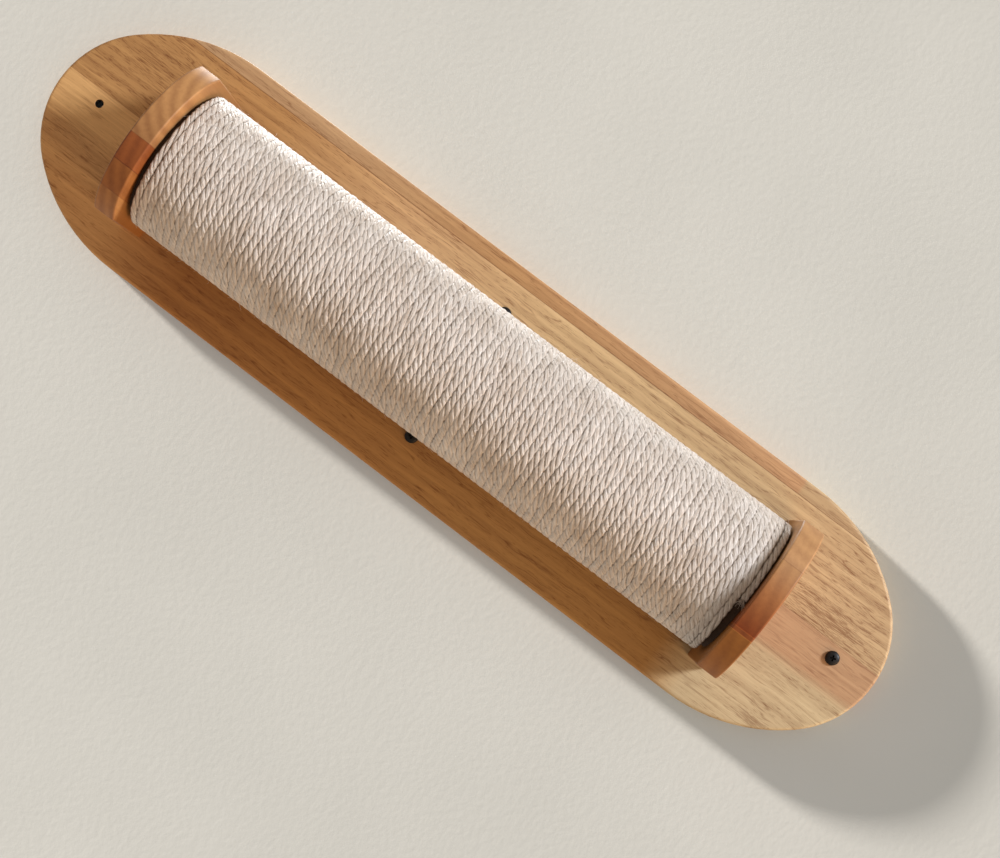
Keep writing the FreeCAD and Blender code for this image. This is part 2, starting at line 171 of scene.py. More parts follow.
@dataclass(frozen=True)
class Stave:
    """One strip of wood in a glued-up panel.

    Attributes:
        edge: Where the strip ends on its -X side.
        tones: Its colours with their places along the tone axis, from the lowest; they blend
            in between.
        seed: The place in the log that it was cut from, from 0 to 1.
        line: How dark the glue line on its -X side is, from 0 to 1; below 0 it is pale.
        marks: How strongly its pores and growth lines show.
        blend: The width over which it passes into the next strip.
    """

    edge: float
    tones: tuple[tuple[float, str], ...]
    seed: float
    line: float = 0.0
    marks: float = 1.0
    blend: float = 0.2


@dataclass(frozen=True)
class Figure:
    """A long spot where the grain is coarser, by its middle and its half sizes."""

    place: Point
    reach: Point
    gain: float


@dataclass(frozen=True)
class OiledAcacia(Finish):
    """Acacia panel, edge-glued from staves, sanded and oiled.

    The eye sees staves of differing tone, soft growth bands, thin wavy lines and short dark
    pores along the grain, under a dull sheen. Inside the drilled holes the wood is painted
    near-black as painted shade.
    """

    name: str
    staves: tuple[Stave, ...]
    tone_axis: ToneAxis
    half_span: float
    grain: GrainAxis
    pith: Point
    ring_spacing: float = 6.0
    ring_depth: float = 0.16
    wobble: float = 9.0
    wobble_width: float = 45.0
    wobble_length: float = 260.0
    ripple: float = 1.1
    ripple_width: float = 14.0
    ripple_length: float = 26.0
    streak_width: float = 2.4
    streak_length: float = 90.0
    streak_depth: float = 0.2
    line_spacing: float = 5.0
    line_length: float = 75.0
    line_width: float = 0.024
    line_depth: float = 0.6
    break_width: float = 4.0
    break_length: float = 17.0
    # Real pores are about 0.2 wide; these are drawn wider so that they show
    pore_width: float = 0.4
    pore_length: float = 7.0
    pore_depth: float = 0.5
    pore_share: float = 0.22
    pore_crowding: float = 0.03
    pore_relief: float = 0.15
    figures: tuple[Figure, ...] = ()
    dark: str = "8f6038"
    bores: tuple[Point, ...] = ()
    bore_radius: float = 2.55
    # The near-black that the inside of each bore is painted: painted shade in the hole
    bore_shade: str = "1d120b"
    glue_line: float = 0.6
    seed_step: Point = (61.0, 47.0, 430.0)
    roughness: float = 0.55

    def stretch(self, across: float, along: float) -> Point:
        """Return a mapping scale for a pattern of that size across and along the grain.

        Args:
            across: The pattern's size across the grain.
            along: Its size along the grain.

        Returns:
            Cycles per metre along each axis.
        """
        sizes = [along if on else across for on in self.grain.value]
        return (1 / (sizes[0] * MM), 1 / (sizes[1] * MM), 1 / (sizes[2] * MM))

    def noise(self, tree: Tree, place: Socket, across: float,
              along: float, detail: float) -> Socket:
        """Add a noise stretched along the grain.

        Args:
            tree: The material's node tree.
            place: The place that it is looked up at.
            across: The size of its spots across the grain.
            along: Their size along the grain.
            detail: How many finer layers it has.

        Returns:
            The noise, about 0.5.
        """
        mapped = add_node(tree, "Mapping", {
            "Vector": place, "Scale": self.stretch(across, along)})
        return add_node(tree, "TexNoise", {
            "Vector": mapped, "Scale": 1.0, "Detail": detail,
            "Roughness": 0.6}).outputs["Fac"]

    def glue_up(
        self, tree: Tree, axes: Mapping[str, Socket]
    ) -> tuple[Any, Any, Any, Any]:
        """Lay the staves side by side.

        Args:
            tree: The material's node tree.
            axes: The place's three coordinates.

        Returns:
            The tone, the stave's seed, the strength of its marks and the darkness of the
            glue lines.
        """
        span = self.half_span * MM
        along = add_node(tree, "MapRange", {
            0: axes[self.tone_axis.value], 1: -span, 2: span})
        tone = traits = lines = None
        for stave in reversed(self.staves):
            stops = [((level / self.half_span + 1) / 2, linear(code))
                     for level, code in stave.tones]
            ramp = add_node(tree, "ValToRGB", {0: along}, stops)
            own = (stave.seed, stave.marks, 0.0)
            if tone is None:
                tone, traits, lines = ramp.outputs["Color"], own, 0.0
                continue
            inside = add_node(tree, "MapRange", {
                0: axes["X"], 1: (stave.edge - stave.blend / 2) * MM,
                2: (stave.edge + stave.blend / 2) * MM}).outputs[0]
            tone = add_node(tree, "Mix", {0: inside, 6: tone, 7: ramp.outputs["Color"]},
                            data_type="RGBA").outputs[2]
            traits = add_node(tree, "Mix", {0: inside, 4: traits, 5: own},
                              data_type="VECTOR").outputs[1]
            line = add_node(tree, "Math", {
                0: axes["X"], 1: stave.edge * MM, 2: self.glue_line / 2 * MM},
                operation="COMPARE").outputs[0]
            lines = add_node(tree, "Math", {0: line, 1: stave.line, 2: lines},
                             operation="MULTIPLY_ADD").outputs[0]
        split = add_node(tree, "SeparateXYZ", {0: traits}).outputs
        return tone, split["X"], split["Y"], lines

    def coarseness(self, tree: Tree,
                   place: Socket) -> Socket | float:
        """Add up the spots of coarser grain.

        Args:
            tree: The material's node tree.
            place: The place on the panel.

        Returns:
            How much coarser the grain is there.
        """
        total: Socket | float = 0.0
        for figure in self.figures:
            moved = add_node(tree, "VectorMath", {
                0: place, 1: [part * MM for part in figure.place]}, operation="SUBTRACT")
            shrunk = add_node(tree, "VectorMath", {
                0: moved, 1: [part * MM for part in figure.reach]}, operation="DIVIDE")
            apart = add_node(tree, "VectorMath", {0: shrunk},
                             operation="LENGTH")
            gain = add_node(tree, "MapRange", {
                0: apart.outputs["Value"], 1: 0.0, 2: 1.0, 3: figure.gain, 4: 0.0},
                interpolation_type="SMOOTHSTEP")
            total = add_node(tree, "Math", {0: gain, 1: total},
                             operation="ADD").outputs[0]
        return total

    def marks(self, tree: Tree, log_place: Socket,
              rings: Socket, coarse: Any) -> Socket:
        """Add the growth lines and the pores.

        Args:
            tree: The material's node tree.
            log_place: The place in the log.
            rings: The growth rings, from -1 to 1.
            coarse: How much coarser the grain is than elsewhere.

        Returns:
            How dark they are.
        """
        # A line runs where a long noise passes its middle level, and fades in and out on its way
        level = add_node(tree, "Math", {
            0: self.noise(tree, log_place, self.line_spacing, self.line_length, 2.0), 1: 0.5},
            operation="SUBTRACT")
        away = add_node(tree, "Math", {0: level}, operation="ABSOLUTE")
        line = add_node(tree, "MapRange", {
            0: away, 1: 0.0, 2: self.line_width, 3: self.line_depth, 4: 0.0})
        faded = add_node(tree, "Math", {
            0: self.noise(tree, log_place, self.break_width, self.break_length, 2.0), 1: coarse},
            operation="ADD")
        shown = add_node(tree, "MapRange", {0: faded, 1: 0.42, 2: 0.62})
        lines = add_node(tree, "Math", {0: line, 1: shown},
                         operation="MULTIPLY")
        # Pores crowd together in the early wood of each ring
        spots = self.noise(tree, log_place, self.pore_width, self.pore_length, 1.5)
        crowd = add_node(tree, "Math", {0: rings, 1: -self.pore_crowding, 2: spots},
                         operation="MULTIPLY_ADD")
        dense = add_node(tree, "Math", {0: crowd, 1: coarse},
                         operation="ADD")
        limit = 0.68 - 0.4 * self.pore_share
        pores = add_node(tree, "MapRange", {
            0: dense, 1: limit, 2: limit + 0.12, 3: 0.0, 4: self.pore_depth})
        return add_node(tree, "Math", {0: pores, 1: lines},
                        operation="MAXIMUM").outputs[0]

    def wire(self, tree: Tree, shader: Node) -> None:
        """Set the shader's values and link its patterns."""
        place = add_node(tree, "TexCoord").outputs["Object"]
        tone, seed, strength, lines = self.glue_up(
            tree, add_node(tree, "SeparateXYZ", {0: place}).outputs)

        # Each stave is cut from another place in the log, and the grain ripples across itself
        moved = add_node(tree, "VectorMath", {
            0: [step * MM for step in self.seed_step], "Scale": seed}, operation="SCALE")
        cut = add_node(tree, "VectorMath", {0: place, 1: moved},
                       operation="ADD").outputs[0]
        ripple = self.noise(tree, cut, self.ripple_width, self.ripple_length, 1.0)
        shift = add_node(tree, "Math", {0: ripple, 1: 0.5}, operation="SUBTRACT")
        sideways = add_node(tree, "VectorMath", {
            0: [2 * self.ripple * MM * (1 - part) for part in self.grain.value],
            "Scale": shift}, operation="SCALE")
        log_place = add_node(tree, "VectorMath", {0: cut, 1: sideways},
                             operation="ADD").outputs[0]

        wobble = self.noise(tree, log_place, self.wobble_width, self.wobble_length, 2.0)
        from_pith = add_node(tree, "VectorMath", {
            0: log_place, 1: [part * MM for part in self.pith]}, operation="SUBTRACT")
        flat = add_node(tree, "VectorMath", {
            0: from_pith, 1: [1 - part for part in self.grain.value]},
            operation="MULTIPLY")
        radius = add_node(tree, "VectorMath", {0: flat}, operation="LENGTH")
        bent = add_node(tree, "Math", {
            0: wobble, 1: self.wobble * MM, 2: radius.outputs["Value"]},
            operation="MULTIPLY_ADD")
        turns = add_node(tree, "Math", {
            0: bent, 1: 2 * math.pi / (self.ring_spacing * MM)}, operation="MULTIPLY")
        rings = add_node(tree, "Math", {0: turns}, operation="SINE")
        streaks = self.noise(tree, log_place, self.streak_width, self.streak_length, 5.0)
        marks = add_node(tree, "Math", {
            0: self.marks(tree, log_place, rings.outputs[0], self.coarseness(tree, place)),
            1: strength}, operation="MULTIPLY")

        # Everything that darkens the wood adds up to one share of the dark tone
        ring_dark = add_node(tree, "MapRange", {
            0: rings, 1: -1.0, 2: 1.0, 3: self.ring_depth, 4: 0.0})
        streak_dark = add_node(tree, "MapRange", {
            0: streaks, 1: 0.3, 2: 0.7, 3: self.streak_depth, 4: -self.streak_depth})
        grain_dark = add_node(tree, "Math", {
            0: ring_dark, 1: streak_dark}, operation="ADD")
        marked = add_node(tree, "Math", {0: marks, 1: lines},
                          operation="ADD")
        darkness = add_node(tree, "Math", {
            0: grain_dark, 1: marked}, operation="ADD")
        deep = add_node(tree, "Mix", {0: 1.0, 6: tone, 7: linear(self.dark)},
                        data_type="RGBA", blend_type="MULTIPLY")
        wood = add_node(tree, "Mix", {
            0: darkness, 6: tone, 7: deep.outputs[2]},
            data_type="RGBA", clamp_factor=False).outputs[2]
        # Inside each drilled hole the wood is painted near-black: painted shade in the hole
        for bore in self.bores:
            level = add_node(tree, "VectorMath", {0: place, 1: (1, 0, 1)},
                             operation="MULTIPLY")
            apart = add_node(tree, "VectorMath", {
                0: level, 1: [part * MM for part in bore]}, operation="DISTANCE")
            within = add_node(tree, "Math", {
                0: apart.outputs["Value"], 1: self.bore_radius * MM}, operation="LESS_THAN")
            wood = add_node(tree, "Mix", {
                0: within, 6: wood, 7: linear(self.bore_shade)},
                data_type="RGBA").outputs[2]
        tree.links.new(wood, shader.inputs["Base Color"])

        dull = add_node(tree, "Math", {0: marks, 1: 0.3, 2: self.roughness},
                        operation="MULTIPLY_ADD")
        tree.links.new(dull.outputs[0], shader.inputs["Roughness"])
        bump = add_node(tree, "Bump", {
            "Strength": 0.4, "Distance": self.pore_relief * MM, "Height": darkness}, invert=True)
        tree.links.new(bump.outputs[0], shader.inputs["Normal"])
        shader.inputs["Specular IOR Level"].default_value = 0.35


@dataclass(frozen=True)
class BleachedSisal(Finish):
    """Sisal fibre, bleached, spun into strands and laid into rope.

    The eye sees pale dry fibres with a silky glint along each strand. Where the gaps between
    strands and turns go deep, the fibres are painted darker as painted shade.
    """

    name: str = "bleached_laid_sisal"
    pale: str = "efe5da"
    warm: str = "c1ac96"
    # The colour that points deep between strands and turns are painted towards: painted shade in
    # the crevices
    crevice_shade: str = "86715b"
    shade_from: float = 0.8
    shade_to: float = 1.4
    # Real fibres are about 0.2 thick; bundles of them are drawn so that they show
    bundle_width: float = 0.35
    bundle_length: float = 6.0
    bundle_relief: float = 1.0
    patch_size: float = 25.0
    patch_share: float = 0.25
    roughness: float = 0.4
    specular: float = 0.9
    coat: float = 0.1

    def wire(self, tree: Tree, shader: Node) -> None:
        """Set the shader's values and link its patterns."""
        spot = add_node(tree, "Attribute", attribute_name="strand_place")
        bundle = 1 / (self.bundle_width * MM)
        stretched = add_node(tree, "Mapping", {
            "Vector": spot.outputs["Vector"],
            "Scale": (bundle, bundle, 1 / (self.bundle_length * MM))})
        fibres = add_node(tree, "TexNoise", {
            "Vector": stretched, "Scale": 1.0, "Detail": 3.0, "Roughness": 0.6})
        mixed = add_node(tree, "Math", {
            0: self.speckle(tree, self.patch_size, 2.0), 1: self.patch_share,
            2: fibres.outputs["Fac"]}, operation="MULTIPLY_ADD")
        tone = add_node(tree, "ValToRGB", {0: mixed}, [
            (0.48, linear(self.warm)), (0.74, linear(self.pale))])
        # Points deep between strands and turns are painted darker: painted shade in the crevices,
        # not the fibre's own colour
        depth = add_node(tree, "Attribute", attribute_name="strand_depth")
        dark = add_node(tree, "MapRange", {
            0: depth.outputs["Fac"], 1: self.shade_from, 2: self.shade_to})
        shaded = add_node(tree, "Mix", {
            0: dark, 6: tone.outputs["Color"], 7: linear(self.crevice_shade)},
            data_type="RGBA")
        tree.links.new(shaded.outputs[2], shader.inputs["Base Color"])
        bump = add_node(tree, "Bump", {
            "Strength": 1.0, "Distance": self.bundle_relief * MM,
            "Height": fibres.outputs["Fac"]})
        tree.links.new(bump.outputs[0], shader.inputs["Normal"])
        shader.inputs["Roughness"].default_value = self.roughness
        shader.inputs["Specular IOR Level"].default_value = self.specular
        shader.inputs["Coat Weight"].default_value = self.coat
        shader.inputs["Coat Roughness"].default_value = self.roughness


@dataclass(frozen=True)
class ScrewSteel(Finish):
    """Carbon steel screw with a coating.

    The eye sees a small hard glint on an even coat, a little cloudy from handling.
    """

    name: str
    colour: str
    worn: str
    metallic: float
    roughness: float
    specular: float = 0.5
    cloud_size: float = 1.5

    def wire(self, tree: Tree, shader: Node) -> None:
        """Set the shader's values and link its patterns."""
        cloud = self.speckle(tree, self.cloud_size)
        tone = add_node(tree, "ValToRGB", {0: cloud}, [
            (0.45, linear(self.colour)), (0.75, linear(self.worn))])
        tree.links.new(tone.outputs["Color"], shader.inputs["Base Color"])
        dull = add_node(tree, "MapRange", {
            0: cloud, 1: 0.3, 2: 0.7,
            3: self.roughness * 0.8, 4: self.roughness * 1.3})
        tree.links.new(dull.outputs[0], shader.inputs["Roughness"])
        shader.inputs["Metallic"].default_value = self.metallic
        shader.inputs["Specular IOR Level"].default_value = self.specular


@dataclass(frozen=True)
class WoundCard(Finish):
    """Grey-brown card, wound in a spiral into a tube.

    The eye sees dull mottled board with one spiral butt seam.
    """

    name: str = "spiral_wound_card"
    # This dark grey-brown is partly the card's own tone and partly painted shade, since the tube
    # shows only in the shaded gaps by the brackets
    colour: str = "4a3626"
    fleck: str = "38281b"
    fleck_size: float = 1.2
    strip_width: float = 90.0

    def wire(self, tree: Tree, shader: Node) -> None:
        """Set the shader's values and link its patterns."""
        place = add_node(tree, "TexCoord").outputs["Object"]
        tone = add_node(tree, "ValToRGB", {0: self.speckle(tree, self.fleck_size)}, [
            (0.4, linear(self.colour)), (0.7, linear(self.fleck))])
        seam = add_node(tree, "TexWave", {
            "Vector": place, "Scale": math.pi / (10 * self.strip_width * MM)},
            bands_direction="DIAGONAL")
        line = add_node(tree, "MapRange", {
            0: seam.outputs["Fac"], 1: 0.985, 2: 1.0, 3: 0.0, 4: 0.4})
        seamed = add_node(tree, "Mix", {
            0: line, 6: tone.outputs["Color"], 7: linear(self.fleck)},
            data_type="RGBA")
        tree.links.new(seamed.outputs[2], shader.inputs["Base Color"])
        shader.inputs["Roughness"].default_value = 0.9


@dataclass(frozen=True)
class SawnPine(Finish):
    """Pine, sawn and left raw.

    The eye sees pale wood with darker growth rings and a fuzzy, matt face.
    """

    name: str = "raw_sawn_pine"
    early: str = "e0c295"
    late: str = "bd8f58"
    ring_spacing: float = 3.5

    def wire(self, tree: Tree, shader: Node) -> None:
        """Set the shader's values and link its patterns."""
        place = add_node(tree, "TexCoord").outputs["Object"]
        rings = add_node(tree, "TexWave", {
            "Vector": place, "Scale": math.pi / (10 * self.ring_spacing * MM),
            "Distortion": 2.5, "Detail": 2.0}, wave_type="RINGS", rings_direction="Y")
        tone = add_node(tree, "ValToRGB", {0: rings.outputs["Fac"]}, [
            (0.3, linear(self.early)), (0.95, linear(self.late))])
        tree.links.new(tone.outputs["Color"], shader.inputs["Base Color"])
        shader.inputs["Roughness"].default_value = 0.8


@dataclass(frozen=True)
class PaintedPlaster(Finish):
    """Plaster wall, rolled with matt emulsion.

    The eye sees an even warm off-white with a faint roller stipple. It shows from the front
    alone, so that views from behind the wall show the part's back.
    """

    name: str = "rolled_plaster"
    colour: str = "dde0dd"
    shade: str = "d8dbd8"
    stipple_size: float = 4.0
    stipple_depth: float = 0.4
    cloud_size: float = 160.0

    def wire(self, tree: Tree, shader: Node) -> None:
        """Set the shader's values and link its patterns."""
        tone = add_node(tree, "ValToRGB", {0: self.speckle(tree, self.cloud_size)}, [
            (0.35, linear(self.shade)), (0.65, linear(self.colour))])
        tree.links.new(tone.outputs["Color"], shader.inputs["Base Color"])
        bump = add_node(tree, "Bump", {
            "Strength": 0.25, "Distance": self.stipple_depth * MM,
            "Height": self.speckle(tree, self.stipple_size)})
        tree.links.new(bump.outputs[0], shader.inputs["Normal"])
        shader.inputs["Roughness"].default_value = 0.9
        clear = add_node(tree, "BsdfTransparent")
        behind = add_node(tree, "NewGeometry").outputs["Backfacing"]
        shown = add_node(tree, "MixShader", {
            0: behind, 1: shader, 2: clear})
        tree.links.new(shown.outputs[0], tree.nodes["Material Output"].inputs["Surface"])


def new_piece(
    name: str,
    vertices: np.ndarray,
    faces: Sequence[Sequence[int]],
    finish: Finish,
) -> Piece:
    """Make a smooth-shaded mesh piece.

    Args:
        name: The piece's name.
        vertices: Its points, in metres, one per line.
        faces: For each face, the numbers of its points.
        finish: The finish that it gets.

    Returns:
        The new object, in the scene.
    """
    mesh = bpy.data.meshes.new(name)
    mesh.from_pydata(vertices.tolist(), [], [list(face) for face in faces])
    mesh.polygons.foreach_set("use_smooth", [True] * len(mesh.polygons))
    mesh.materials.append(finish.material())
    made = bpy.data.objects.new(name, mesh)
    bpy.context.scene.collection.objects.link(made)
    return made


def join_root(piece: Piece, replaced: Sequence[str] = ()) -> None:
    """Make a piece ride on the part and the solids that it stands for.

    Args:
        piece: The piece, in place.
        replaced: The names of the nodes that it stands for.
    """
    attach(piece, ROOT_BODY)
    if replaced:
        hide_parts(*replaced)
    LOG.info("%s: %d faces", piece.name, len(piece.data.polygons))


def dress_node(node: str, finish: Finish) -> None:
    """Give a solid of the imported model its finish.

    Args:
        node: The node's name.
        finish: The finish that it gets.
    """
    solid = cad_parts[node]
    solid.data.materials.clear()
    solid.data.materials.append(finish.material())
    LOG.info("%s: %s", node, finish.name)


def tube_faces(rings: int, sides: int) -> list[list[int]]:
    """Return the faces of a capped tube.

    Args:
        rings: The number of rings along it.
        sides: The number of points in each ring.

    Returns:
        Its side faces and two caps, with outward normals where rings run anticlockwise
        seen against the tube's way.
    """
    low = np.arange(rings - 1)[:, None] * sides
    side = np.arange(sides)[None, :]
    after = (side + 1) % sides
    quads = np.stack([low + side, low + after, low + sides + after, low + sides + side], -1)
    faces = quads.reshape(-1, 4).tolist()
    faces.append(list(range(sides))[::-1])
    faces.append(list(range((rings - 1) * sides, rings * sides)))
    return faces


def sweep(
    line: np.ndarray, outward: np.ndarray, radii: np.ndarray, angles: np.ndarray
) -> np.ndarray:
    """Sweep a circle along a line.

    Args:
        line: The line's points.
        outward: For each point, the way that the circle's angles count from.
        radii: The circle's radius at each point.
        angles: The angles of the points in each ring.

    Returns:
        The rings' points, one per line.
    """
    way = np.gradient(line, axis=0)
    way /= np.linalg.norm(way, axis=1, keepdims=True)
    first = outward - way * np.sum(outward * way, axis=1, keepdims=True)
    first /= np.linalg.norm(first, axis=1, keepdims=True)
    second = np.cross(way, first)
    spokes = (np.cos(angles)[None, :, None] * first[:, None, :]
              + np.sin(angles)[None, :, None] * second[:, None, :])
    points = line[:, None, :] + radii[:, None, None] * spokes
    return points.reshape(-1, 3)


@dataclass
class Winding:
    """The sisal rope: one layer of turns round the post, laid from three strands."""

    axis_y: float = -61.5
    centre_radius: float = 42.4
    half_height: float = 202.3
    turns: float = 86.5
    first_angle: float = -93.0
    tail: float = 4.2
    strands: int = 3
    strand_radius: float = 1.75
    strand_outward: float = 0.37
    strand_sideways: float = 1.25
    end_squeeze: float = 0.2
    press: float = 0.6
    lay: float = 16.0
    fibre_turn: float = -40.0
    phase_sway: float = 4.0
    radius_sway: float = 0.3
    rings_per_turn: int = 142
    # Each strand is pressed into its neighbours, so its points lie mostly on its outer side
    ring_angles: tuple[float, ...] = (0, 22, 45, 72, 180, 288, 315, 338)
    seed: int = 7
    side_wander: float = 0.22
    out_wander: float = 0.12
    fibre_radius: float = 0.08
    fibre_lengths: tuple[float, float] = (2.0, 6.0)
    fibre_count: int = 1600
    fray_count: int = 30
    finish: Finish = field(default_factory=BleachedSisal)

    def turn_length(self) -> float:
        """Return the rope's length in one turn."""
        pitch = 2 * self.half_height / self.turns
        return math.hypot(2 * math.pi * self.centre_radius, pitch)

    def stations(self) -> np.ndarray:
        """Return the distances along the rope of its rings, counted from the first turn's start."""
        last = self.turns * self.turn_length()
        count = int(self.turns * self.rings_per_turn)
        inner = np.linspace(0.0, last, count + 1)
        ends = self.tail * np.array([1.0, 0.5])
        return np.concatenate([-ends, inner, last + ends[::-1]])

    def sway(self, at: np.ndarray, size: float, waves: Sequence[float], seed: int) -> np.ndarray:
        """Return a smooth irregular wander along the rope.

        Args:
            at: Distances along the rope.
            size: The wander's greatest size.
            waves: The lengths of the waves that it is made of.
            seed: The draw that sets the waves' starts.

        Returns:
            The wander at each distance.
        """
        starts = np.random.default_rng(self.seed * 1000 + seed).uniform(0, 2 * math.pi, len(waves))
        total = sum(np.sin(2 * math.pi * at / wave + start) for wave, start in zip(waves, starts))
        return size * total / len(waves)

    def centre_line(self, at: np.ndarray) -> tuple[np.ndarray, np.ndarray, np.ndarray, np.ndarray]:
        """Return the rope's middle line with its outward, sideways and forward ways.

        Args:
            at: Distances along the rope; those beyond the turns lie on straight tails.

        Returns:
            Points and three unit ways, one of each per distance.
        """
        full = self.turn_length()
        turned = np.clip(at / full, 0, self.turns)
        angle = math.radians(self.first_angle) + 2 * math.pi * turned
        pitch = 2 * self.half_height / self.turns
        outward = np.stack([np.cos(angle), np.sin(angle), np.zeros_like(angle)], -1)
        lead = np.full_like(angle, pitch / (2 * math.pi * self.centre_radius))
        forward = np.stack([-np.sin(angle), np.cos(angle), lead], -1)
        forward /= np.linalg.norm(forward, axis=1, keepdims=True)
        points = outward * self.centre_radius
        points[:, 1] += self.axis_y
        points[:, 2] = pitch * turned - self.half_height
        points += forward * (at - turned * full)[:, None]
        sideways = np.cross(forward, outward)
        points += sideways * self.sway(at, self.side_wander, (83.0, 131.0, 307.0), 1)[:, None]
        points += outward * self.sway(at, self.out_wander, (67.0, 149.0, 411.0), 2)[:, None]
        return points, outward, sideways, forward

    def pressed(self, points: np.ndarray) -> tuple[np.ndarray, np.ndarray]:
        """Press the turns' outer side flatter, as wet rope does when it is wound taut.

        Args:
            points: Points on the strands.

        Returns:
            The points, moved out from the post's axis by a share of their depth, and the
            depth that each had.
        """
        top = self.centre_radius + self.strand_outward + self.strand_radius
        radius = np.hypot(points[:, 0], points[:, 1] - self.axis_y)
        depth = np.clip(top - radius, 0, self.strand_radius)
        moved = points.copy()
        moved[:, 0] *= 1 + self.press * depth / radius
        moved[:, 1] += (points[:, 1] - self.axis_y) * self.press * depth / radius
        return moved, depth

    def strand(self, number: int) -> Piece:
        """Build one strand.

        Args:
            number: Which of the strands.

        Returns:
            The strand's piece.
        """
        at = self.stations()
        points, outward, sideways, _ = self.centre_line(at)
        # The strands are laid left-handed, and the turns next to the brackets are squeezed
        phase = 2 * math.pi * number / self.strands - 2 * math.pi * at / self.lay
        phase += self.sway(at, self.phase_sway, (37.0, 61.0, 190.0, 290.0, 530.0), 3)
        from_end = np.minimum(at, self.turns * self.turn_length() - at) / self.turn_length()
        snug = 1 - self.end_squeeze * np.clip(1.5 - from_end, 0, 1)
        spoke = np.cos(phase)[:, None] * outward + np.sin(phase)[:, None] * sideways
        line = points + (self.strand_outward * np.cos(phase))[:, None] * outward
        line += (self.strand_sideways * snug * np.sin(phase))[:, None] * sideways
        radii = snug * (self.strand_radius
                        + self.sway(at, self.radius_sway, (9.0, 23.0, 41.0, 97.0), 10 + number))
        ring = np.radians(self.ring_angles)
        moved, depth = self.pressed(sweep(line, spoke, radii, ring))
        piece = new_piece("rope_strand_{}".format(number + 1), moved * MM,
                          tube_faces(len(at), len(ring)), self.finish)
        along, angles = np.repeat(at, len(ring)), np.tile(ring, len(at))
        twisted = angles + 2 * math.pi * along / self.fibre_turn
        spot = np.stack([np.cos(twisted) * self.strand_radius, np.sin(twisted) * self.strand_radius,
                         along + 50.0 * number], -1)
        held = piece.data.attributes.new("strand_place", "FLOAT_VECTOR", "POINT")
        held.data.foreach_set("vector", (spot * MM).astype(np.float32).ravel())
        held = piece.data.attributes.new("strand_depth", "FLOAT", "POINT")
        held.data.foreach_set("value", depth.astype(np.float32))
        return piece

    def stray_fibres(self) -> Piece:
        """Build the loose fibre ends that stand off the rope's outer side.

        Returns:
            The fibres' piece.
        """
        draw = np.random.default_rng(self.seed)
        count, steps = self.fibre_count + self.fray_count, 5
        ring = np.radians([0.0, 120.0, 240.0])
        at = draw.uniform(0, self.turns * self.turn_length(), count)
        at[:self.fray_count] = -self.tail
        points, outward, sideways, forward = self.centre_line(at)
        lean = draw.normal(0, 0.8, count)
        spoke = np.cos(lean)[:, None] * outward + np.sin(lean)[:, None] * sideways
        reach = np.full((count, 1), self.strand_outward + self.strand_radius - 0.15)
        reach[:self.fray_count] *= draw.uniform(0, 1, (self.fray_count, 1))
        way = draw.choice([-1.0, 1.0], (count, 1))
        way[:self.fray_count] = -1.0
        heading = forward * way + sideways * draw.normal(0, 0.5, (count, 1))
        heading = heading + spoke * draw.uniform(0.05, 0.4, (count, 1))
        length = draw.uniform(*self.fibre_lengths, (count, 1))
        curl = spoke * draw.normal(0, 0.12, (count, 1))
        start = points + reach * spoke
        vertices, faces = [], []
        share = np.linspace(0, 1, steps)[:, None]
        pattern = tube_faces(steps, len(ring))
        radii = self.fibre_radius * np.linspace(1.0, 0.45, steps)
        for number in range(count):
            line = (start[number] + heading[number] * length[number] * share
                    + curl[number] * length[number] * share ** 2)
            base = number * steps * len(ring)
            vertices.append(sweep(line, np.repeat(spoke[number][None], steps, 0), radii, ring))
            faces += [[base + corner for corner in face] for face in pattern]
        return new_piece("rope_stray_fibres", np.concatenate(vertices) * MM, faces, self.finish)

    def build(self) -> None:
        """Build the strands and the stray fibres in place of the rope's solid."""
        for number in range(self.strands):
            join_root(self.strand(number), ["sisal_rope"])
        join_root(self.stray_fibres())


